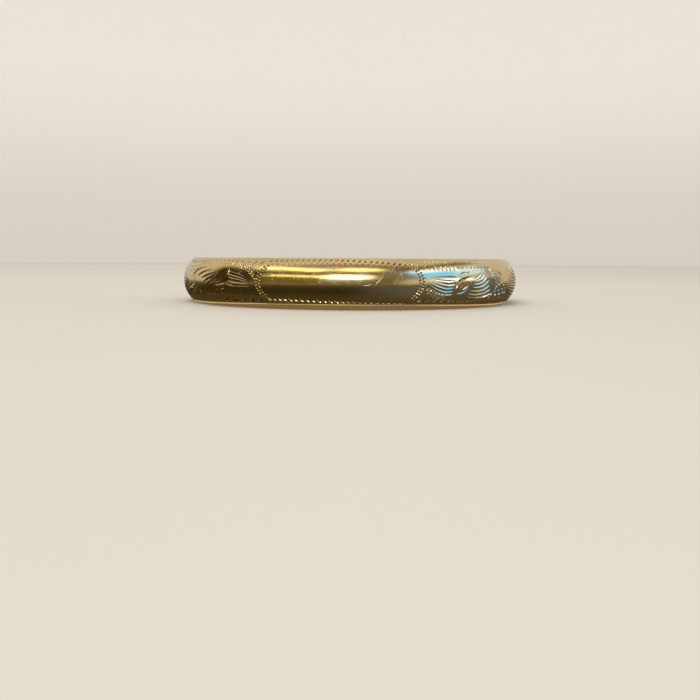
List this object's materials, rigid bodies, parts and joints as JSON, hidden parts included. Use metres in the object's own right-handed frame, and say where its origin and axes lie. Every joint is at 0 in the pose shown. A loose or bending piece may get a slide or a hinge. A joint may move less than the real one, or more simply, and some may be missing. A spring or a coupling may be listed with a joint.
{
  "type": "hinged bangle bracelet",
  "caption": "Oval hinged bangle bracelet with a hollow domed band, engraved on its front half, a side hinge and a spring tongue clasp.",
  "frame": {"origin": "centre of the oval, on the plane the bangle lies on", "axes": "+Z along the ring's axis, +X towards the clasp and thumb piece with the hinge at -X, and the engraved front half at -Y"},
  "size_m": [0.0667, 0.06, 0.0085],
  "materials": {
    "engraved_gold": "polished yellow gold with hand engraving",
    "polished_gold": "polished yellow gold",
    "satin_gold": "brushed yellow gold",
    "spring_gold": "hard-drawn yellow gold"
  },
  "bodies": {
    "front_half": {"front_outer_shell": "engraved_gold", "front_inner_liner": "satin_gold", "front_hinge_end_plate": "satin_gold", "tongue_end_plate": "satin_gold", "tongue_base_leaf": "spring_gold", "hinge_pin": "spring_gold", "hinge_pin_cap_lower": "polished_gold", "hinge_pin_cap_upper": "polished_gold", "front_hinge_knuckle_1": "polished_gold", "front_hinge_knuckle_3": "polished_gold", "front_hinge_knuckle_5": "polished_gold"},
    "spring_tongue": {"tongue_spring_leaf": "spring_gold", "thumb_tab": "polished_gold"},
    "back_half": {"back_outer_shell": "polished_gold", "back_inner_liner": "satin_gold", "back_hinge_end_plate": "satin_gold", "catch_plate": "satin_gold", "clasp_tray": "satin_gold", "back_hinge_knuckle_2": "polished_gold", "back_hinge_knuckle_4": "polished_gold"}
  },
  "joints": [
    {"name": "main_hinge", "type": "hinge", "parent": "front_half", "child": "back_half", "pos_m": [-0.0322, 0, 0.00425], "axis": [0, 0, 1], "range_deg": [0, 60]},
    {"name": "thumb_press", "type": "hinge", "parent": "front_half", "child": "spring_tongue", "pos_m": [0.03093, 0.00495, 0.00425], "axis": [0, 0, -1], "range_deg": [0, 4.2], "stiffness_Nm_per_rad": 0.16}
  ]
}
